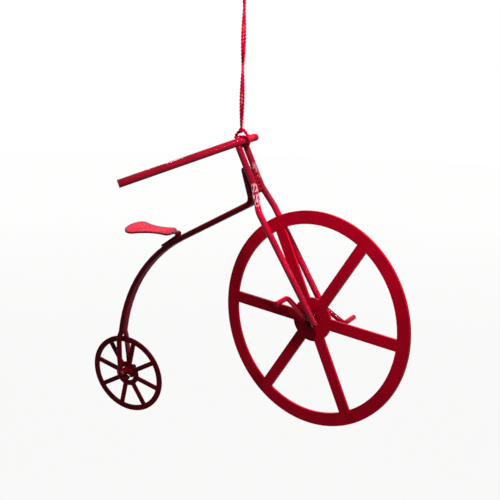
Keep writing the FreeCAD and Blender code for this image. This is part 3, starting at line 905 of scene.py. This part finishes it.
class ORNAMENT_OT_saddle(Operator):
    """Make the saddle, a peanut-shaped seat whose nose folds under onto the stays"""
    bl_idname = "ornament.saddle"
    bl_label = "Saddle"

    def execute(self, context):
        wide, narrow, long, hollow = 4.5, 2.7, 22.8, 26.5
        rim, tongue_wide, tongue_long, rise, rounded = 0.75, 3.0, 7.8, 1.4, 0.26
        nose_x, pitch, roll, fall = -40.4, math.radians(28.2), math.radians(13), math.radians(3)
        sheet = sizes("sheets").saddle / MM
        centres = long - wide - narrow
        to_wide, to_narrow = hollow + wide, hollow + narrow
        along = (to_wide ** 2 - to_narrow ** 2 + centres ** 2) / (2 * centres)
        middle = Vector((along, math.sqrt(to_wide ** 2 - along ** 2), 0))
        meets_wide = middle * (wide / to_wide)
        front = Vector((centres, 0, 0))
        meets_narrow = front + (middle - front) * (narrow / to_narrow)
        mirrored = Vector((1, -1, 1))
        seat = one_vertex(meets_wide * MM)
        arcs = [
            (meets_wide, meets_narrow, middle, -1),
            (meets_narrow, meets_narrow * mirrored, front, 1),
            (meets_narrow * mirrored, meets_wide * mirrored, middle * mirrored, -1),
            (meets_wide * mirrored, meets_wide, Vector((0, 0, 0)), 1),
        ]
        for first, last, centre, turn in arcs:
            start, stop = first - centre, last - centre
            angle = start.angle(stop)
            if turn > 0 and start.cross(stop).z > 0:
                angle = math.tau - angle
            bpy.ops.mesh.spin(steps=round(18 + angle * 6), angle=angle, center=centre * MM,
                              axis=(0, 0, turn))
        bpy.ops.mesh.select_all(action="SELECT")
        bpy.ops.mesh.remove_doubles(threshold=0.02 * MM)
        bpy.ops.mesh.edge_face_add()
        bpy.ops.mesh.extrude_region_move(TRANSFORM_OT_translate={"value": (0, 0, sheet * MM)})
        bpy.ops.mesh.inset(thickness=rim * MM)
        bpy.ops.mesh.select_all(action="SELECT")
        bpy.ops.transform.translate(value=(0, 0, -sheet * MM / 2))
        outward(seat)
        backbone = (ARCH - ELBOW).normalized()
        stay_line = ELBOW + backbone * ((nose_x - ELBOW.x) / backbone.x)
        under = stay_line + Vector((0, 0, (WIRES["stay"] + sheet) / 2 + FIT_GAP))
        nose = under + Vector((0, 0, rise))
        tilt = Matrix.Rotation(pitch, 4, "Y") @ Matrix.Rotation(roll, 4, "X")
        ahead = tilt @ Vector((1, 0, 0))
        rear = nose - ahead * (long - wide)
        placed(seat, Matrix.Translation(rear * MM) @ tilt)
        tongue = drawn_line([
            (tuple(nose - ahead * 0.4), 0),
            (tuple(nose + ahead * 2.87), 0.6),
            (tuple(under - Vector((math.cos(fall), 0, math.sin(fall))) * tongue_long), 0),
        ])
        bpy.ops.mesh.select_all(action="SELECT")
        bpy.ops.transform.translate(value=(0, -tongue_wide / 2 * MM, 0))
        bpy.ops.mesh.extrude_region_move(
            TRANSFORM_OT_translate={"value": (0, tongue_wide * MM, 0)})
        bpy.ops.object.mode_set(mode="OBJECT")
        applied(tongue, "SOLIDIFY", thickness=sheet * MM, offset=0)
        # Painted light and reflection on the seat's lighter enamel; painted shade on the tongue's
        # darker enamel.
        for piece, name, material in ((seat, "seat", finished("saddle")),
                                      (tongue, "seat_tongue", finished("dark"))):
            outward(piece)
            applied(piece, "BEVEL", width=rounded * MM, segments=4, limit_method="ANGLE",
                    angle_limit=math.radians(50))
            outward(piece)
            smooth(piece, 60)
            placed(piece, HUNG)
            handed_over(piece, name, "frame", "red_enamel", material)
        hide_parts("saddle")
        up = HUNG.to_3x3() @ tilt.to_3x3() @ Vector((0, 0, 1))
        # Painted shade: the saddle's sides and a band round its top edge take a darker enamel.
        painted(seat, finished("stem"), lambda face: face.normal.dot(up) < 0.93
                or face.area < 3 * MM ** 2)
        return {"FINISHED"}


# ------------------------------------------------------------------------------- the cord


def route_line(points):
    """Points read from one open smooth curve that is controlled by a route's points."""
    curve = bpy.data.curves.new("cord_route", "CURVE")
    curve.dimensions = "3D"
    curve.resolution_u = 48
    spline = curve.splines.new("NURBS")
    spline.points.add(len(points) - 1)
    for place, point in zip(spline.points, points):
        place.co = (*point, 1)
    spline.order_u = 3
    spline.use_endpoint_u = True
    holder = bpy.data.objects.new("cord_route", curve)
    bpy.context.collection.objects.link(holder)
    bpy.context.view_layer.update()
    mesh = bpy.data.meshes.new_from_object(holder)
    line = [vertex.co.copy() for vertex in mesh.vertices]
    bpy.data.objects.remove(holder, do_unlink=True)
    bpy.data.curves.remove(curve)
    bpy.data.meshes.remove(mesh)
    return line


def evened(line, step):
    """The same line with its points a step apart."""
    total = sum((b - a).length for a, b in zip(line, line[1:]))
    count = max(2, round(total / step))
    points, run, index = [line[0].copy()], 0.0, 0
    for number in range(1, count):
        target = total * number / count
        while run + (line[index + 1] - line[index]).length < target:
            run += (line[index + 1] - line[index]).length
            index += 1
        span = line[index + 1] - line[index]
        points.append(line[index] + span * ((target - run) / max(span.length, 1e-12)))
    return points + [line[-1].copy()]


def wound(line, radius, turn, phase, side=Vector((1, 0, 0))):
    """A helix about a line, its first offset turned by a phase from a side direction."""
    made, travelled = [], 0.0
    ahead = (line[1] - line[0]).normalized()
    across = (side - ahead * side.dot(ahead)).normalized()
    for index, point in enumerate(line):
        onward = (line[min(index + 1, len(line) - 1)] - line[max(index - 1, 0)]).normalized()
        across = ahead.rotation_difference(onward) @ across
        ahead = onward
        if index:
            travelled += (point - line[index - 1]).length
        angle = phase + math.tau * travelled / turn
        made.append(point + Quaternion(ahead, angle) @ across * radius)
    return made


def tubes(lines, thickness):
    """Round strands along lines of points, as one mesh."""
    curve = bpy.data.curves.new("strands", "CURVE")
    curve.dimensions = "3D"
    curve.bevel_depth = thickness / 2
    curve.bevel_resolution = 2
    curve.use_fill_caps = True
    for line in lines:
        spline = curve.splines.new("POLY")
        spline.points.add(len(line) - 1)
        for place, point in zip(spline.points, line):
            place.co = (*point, 1)
    holder = bpy.data.objects.new("strands", curve)
    bpy.context.collection.objects.link(holder)
    pick(holder)
    bpy.ops.object.convert(target="MESH")
    strands = bpy.context.object
    outward(strands)
    smooth(strands, 60)
    return strands


def plied(line, phase=0.0, fat=1.0):
    """The lines of one yarn's two plies, wound round each other."""
    yarn = sizes("yarn")
    return [wound(line, yarn.yarn * 0.235 * fat, yarn.ply_turn, phase + half * math.pi)
            for half in (0, 1)]


def knotted(centre, wide, high, turn):
    """The line of a small knot drawn tight, round about a centre."""
    spots = []
    steps = 150
    for number in range(steps):
        t = math.tau * number / steps
        spots.append(Vector((
            (math.sin(t) + 2 * math.sin(2 * t)) / 3 * wide,
            (math.cos(t) - 2 * math.cos(2 * t)) / 3 * wide,
            -math.sin(3 * t) * high,
        )))
    turned = Euler((math.radians(78), 0, turn)).to_matrix()
    return [centre + turned @ spot for spot in spots]


# Slanting axes in which the sling's points are given: roughly along the right arm towards
# its bend, up, and out to the front right.
SLING_AXES = Matrix(((0.7782, -0.1496, 0.6100), (0.6275, 0.1437, -0.7653),
                     (0.0269, 0.9782, 0.2057)))
HEAD_KNOT_LOW = -CORD_DROP + WIRES["bar"] / 2 + 1.2 + FIT_GAP
KNOT_HIGH = 2.8
UPPER_LOOP = 9.5
LOOP_WIDE = 4.4
INTO_KNOT = 1.55
CORD_LOW = HEAD_KNOT_LOW + KNOT_HIGH
CORD_HIGH = -UPPER_LOOP - KNOT_HIGH


class ORNAMENT_OT_cord(Operator):
    """Make the doubled yarn with its noose round the handlebar, two knots and upper loop"""
    bl_idname = "ornament.cord"
    bl_label = "Cord"

    def execute(self, context):
        yarn = sizes("yarn")
        step = 0.14 * MM
        material = yarn_fibres()
        low = CORD_LOW - INTO_KNOT
        route = [Vector((0, 0, low)), Vector((0, 0, low + 10.2)),
                 Vector((0, 0, CORD_HIGH - 10.2)), Vector((0, 0, CORD_HIGH))]
        path = evened(route_line([point * MM for point in route]), step)
        pair = []
        for half in (0, 1):
            strand = wound(path, yarn.yarn * 0.47, yarn.pair_turn, half * math.pi,
                           Vector((-0.623, 0.782, 0)))
            pair += plied(strand, half * 1.1)
        cord = tubes(pair, yarn.yarn * 0.58)
        handed_over(cord, "twisted_cord", "frame", "red_yarn", material, "hanging_cord")

        for name, node_name, middle, wide, turn in (
                ("knot_on_bar", "head_knot", Vector((0, 0, path[0].z - 0.45 * MM)), 0.52, 0.4),
                ("knot_at_loop", "loop_knot", Vector((0, 0, path[-1].z + 1.4 * MM)), 0.95, 2.1)):
            line = knotted(middle, wide * MM, 0.34 * MM, turn)
            piece = tubes(plied(evened(line + [line[0]], step)), yarn.yarn * 0.62)
            handed_over(piece, name, "frame", "red_yarn", material, node_name)

        bend = HUNG @ (BAR_BEND * MM)
        sling = [(-0.6, 3.0, 0.3), (-1.45, 2.75, 0.5), (-2.45, 2.0, 0.5), (-3.0, 1.1, -0.5),
                 (-2.95, 0.3, -1.7), (-2.7, -0.9, -2.0), (-1.6, -1.6, -2.3), (-0.8, -1.8, -1.7),
                 (0.6, -1.6, -1.3), (1.35, -1.2, 0.1), (1.3, -0.1, 1.0), (0.9, 1.3, 0.95),
                 (0.1, 2.4, 0.5), (-0.4, 3.0, 0.3)]
        across = [(-2.9, 0.75, 0.35), (-1.9, 1.0, 0.8), (-0.4, 1.05, 0.9), (0.7, 0.85, 1.3)]
        for name, node_name, points in (("sling_round_bar", "noose_left", sling),
                                        ("strand_over_bar", "noose_right", across)):
            spots = [bend + SLING_AXES @ Vector(point) * MM for point in points]
            line = evened(route_line(spots), step)
            fat = 1.15 if points is sling else 0.75
            piece = tubes(plied(line, fat=fat), yarn.yarn * 0.62 * fat)
            handed_over(piece, name, "frame", "red_yarn", material, node_name)

        half = LOOP_WIDE / 2
        top = YARN / 2
        route = [
            Vector((-YARN / 2, 0, -UPPER_LOOP)),
            Vector((-half, 0, -UPPER_LOOP + half)),
            Vector((-half, 0, top)),
            Vector((half, 0, top)),
            Vector((half, 0, -UPPER_LOOP + half)),
            Vector((YARN / 2, 0, -UPPER_LOOP)),
        ]
        line = evened(route_line([point * MM for point in route]), step)
        loop = tubes(plied(line), yarn.yarn * 0.58)
        handed_over(loop, "hanging_loop", "frame", "red_yarn", material, "upper_loop")

        return {"FINISHED"}


# ------------------------------------------------------------------------------ the stage


def lamp(name, place, aim, power, wide):
    """A square lamp aimed at a point."""
    light = bpy.data.lights.new(name, "AREA")
    light.shape = "RECTANGLE"
    light.energy = power
    light.size = wide
    light.size_y = wide
    holder = bpy.data.objects.new(name, light)
    bpy.context.collection.objects.link(holder)
    holder.location = place
    holder.rotation_euler = (Vector(aim) - Vector(place)).to_track_quat("-Z", "Y").to_euler()
    return holder


def seen_rays(tree):
    """1 for what the camera sees straight, in a reflection or through glass."""
    rays = node(tree, "ShaderNodeLightPath")
    first = maths(tree, "MAXIMUM", rays.outputs["Is Camera Ray"], rays.outputs["Is Glossy Ray"])
    return maths(tree, "MAXIMUM", first, rays.outputs["Is Transmission Ray"])


class ORNAMENT_OT_stage(Operator):
    """Make the floor, the lamps, the surroundings and the camera"""
    bl_idname = "ornament.stage"
    bl_label = "Stage"

    def execute(self, context):
        scene = context.scene
        studio = sizes("studio")
        scene.view_settings.view_transform = "Standard"

        alone()
        bpy.ops.mesh.primitive_circle_add(vertices=96, radius=3.0, fill_type="NGON",
                                          location=(0, 0, -0.34))
        floor = bpy.context.object
        bpy.ops.object.transform_apply(location=True)
        floor.name = "floor"
        pale = bpy.data.materials.new("pale_floor")
        pale.use_nodes = True
        tree = pale.node_tree
        tree.nodes.clear()
        place = node(tree, "ShaderNodeTexCoord")
        far = node(tree, "ShaderNodeVectorMath", [(place.outputs["Object"], 0)],
                   operation="LENGTH")
        fade = remap(tree, far.outputs["Value"], 0.4, 1.6, 0.93, 1.0)
        share = maths(tree, "MULTIPLY", fade, seen_rays(tree))
        grain = node(tree, "ShaderNodeTexNoise", [(place.outputs["Object"], "Vector"),
                                                  (9, "Scale"), (2, "Detail")])
        tint = blend_colour(tree, grain.outputs["Fac"], (0.80, 0.80, 0.79, 1),
                            (0.84, 0.84, 0.83, 1))
        matt = node(tree, "ShaderNodeBsdfPrincipled", [(tint, "Base Color"), (0.9, "Roughness"),
                                                       (0.1, "Specular IOR Level")])
        glow = node(tree, "ShaderNodeEmission", [((0.99, 0.99, 0.985, 1), "Color")])
        mixed = node(tree, "ShaderNodeMixShader", [(share, 0), (matt.outputs[0], 1),
                                                   (glow.outputs[0], 2)])
        node(tree, "ShaderNodeOutputMaterial", [(mixed.outputs[0], "Surface")])
        floor.data.materials.append(pale)

        world = bpy.data.worlds.new("white_studio")
        scene.world = world
        world.use_nodes = True
        tree = world.node_tree
        tree.nodes.clear()
        around = node(tree, "ShaderNodeBackground", [((1, 0.99, 0.985, 1), "Color"),
                                                     (studio.ambient, "Strength")])
        white = node(tree, "ShaderNodeBackground", [((1, 1, 1, 1), "Color"), (1.0, "Strength")])
        mixed = node(tree, "ShaderNodeMixShader", [(seen_rays(tree), 0), (around.outputs[0], 1),
                                                   (white.outputs[0], 2)])
        node(tree, "ShaderNodeOutputWorld", [(mixed.outputs[0], "Surface")])

        lamp("near_lamp", (0.075, -0.03, 0.036), (0.012, 0.0, -0.09), studio.near, 0.02)
        lamp("key_lamp", (-0.155, 0.02, 0.145), (0.012, 0.0, -0.08), studio.key, 0.02)
        lamp("side_lamp", (0.25, 0.05, -0.02), (0.0, 0.0, -0.10), studio.side, 0.08)
        lamp("glint_lamp", (0.203, -0.152, 0.11), (0.0, 0.0, -0.07), studio.glint, 0.012)
        lamp("rim_lamp", (-0.10, 0.25, 0.20), (0.0, 0.0, -0.08), studio.rim, 0.03)
        lamp("fill_lamp", (-0.32, 0.28, 0.16), (0.0, 0.0, -0.09), studio.fill, 0.22)

        camera = bpy.data.cameras.new("camera")
        camera.sensor_width = 36
        camera.lens = 59.76
        camera.clip_start = 0.01
        camera.clip_end = 20
        holder = bpy.data.objects.new("camera", camera)
        context.collection.objects.link(holder)
        holder.location = (0.16804747, -0.20478629, -0.03554153)
        holder.rotation_euler = [math.radians(angle) for angle in (78.12403, -1.53998, 38.88052)]
        scene.camera = holder
        return {"FINISHED"}


class ORNAMENT_PT_panel(Panel):
    """Lists the ornament's pieces and settings"""
    bl_idname = "ORNAMENT_PT_panel"
    bl_label = "Hanging bicycle"
    bl_space_type = "VIEW_3D"
    bl_region_type = "UI"
    bl_category = "Ornament"

    def draw(self, context):
        layout = self.layout
        for made in STEPS:
            layout.operator(made.bl_idname)
        for name, group in GROUPS.items():
            box = layout.box()
            box.label(text=group.__doc__)
            for key in group.__annotations__:
                box.prop(sizes(name), key)


STEPS = (
    ORNAMENT_OT_stage, ORNAMENT_OT_cord, ORNAMENT_OT_fork, ORNAMENT_OT_backbone,
    ORNAMENT_OT_handlebar, ORNAMENT_OT_cranks, ORNAMENT_OT_rear_axle, ORNAMENT_OT_solder,
    ORNAMENT_OT_wheels, ORNAMENT_OT_saddle,
)
GROUPS = {"wires": WireSizes, "sheets": SheetSizes, "yarn": YarnSizes, "finish": FinishColours,
          "studio": StudioLight}


def register():
    for group in GROUPS.values():
        bpy.utils.register_class(group)
    for name, group in GROUPS.items():
        setattr(bpy.types.Scene, "ornament_" + name, PointerProperty(type=group))
    for made in (*STEPS, ORNAMENT_PT_panel):
        bpy.utils.register_class(made)


def unregister():
    for made in reversed((*STEPS, ORNAMENT_PT_panel)):
        bpy.utils.unregister_class(made)
    for name in GROUPS:
        delattr(bpy.types.Scene, "ornament_" + name)
    for group in reversed(GROUPS.values()):
        bpy.utils.unregister_class(group)


def main():
    register()
    bpy.ops.ornament.stage()
    bpy.ops.ornament.cord()
    bpy.ops.ornament.fork()
    bpy.ops.ornament.backbone()
    bpy.ops.ornament.handlebar()
    bpy.ops.ornament.cranks()
    bpy.ops.ornament.rear_axle()
    bpy.ops.ornament.solder()
    bpy.ops.ornament.wheels()
    bpy.ops.ornament.saddle()


if __name__ == "__main__":
    main()
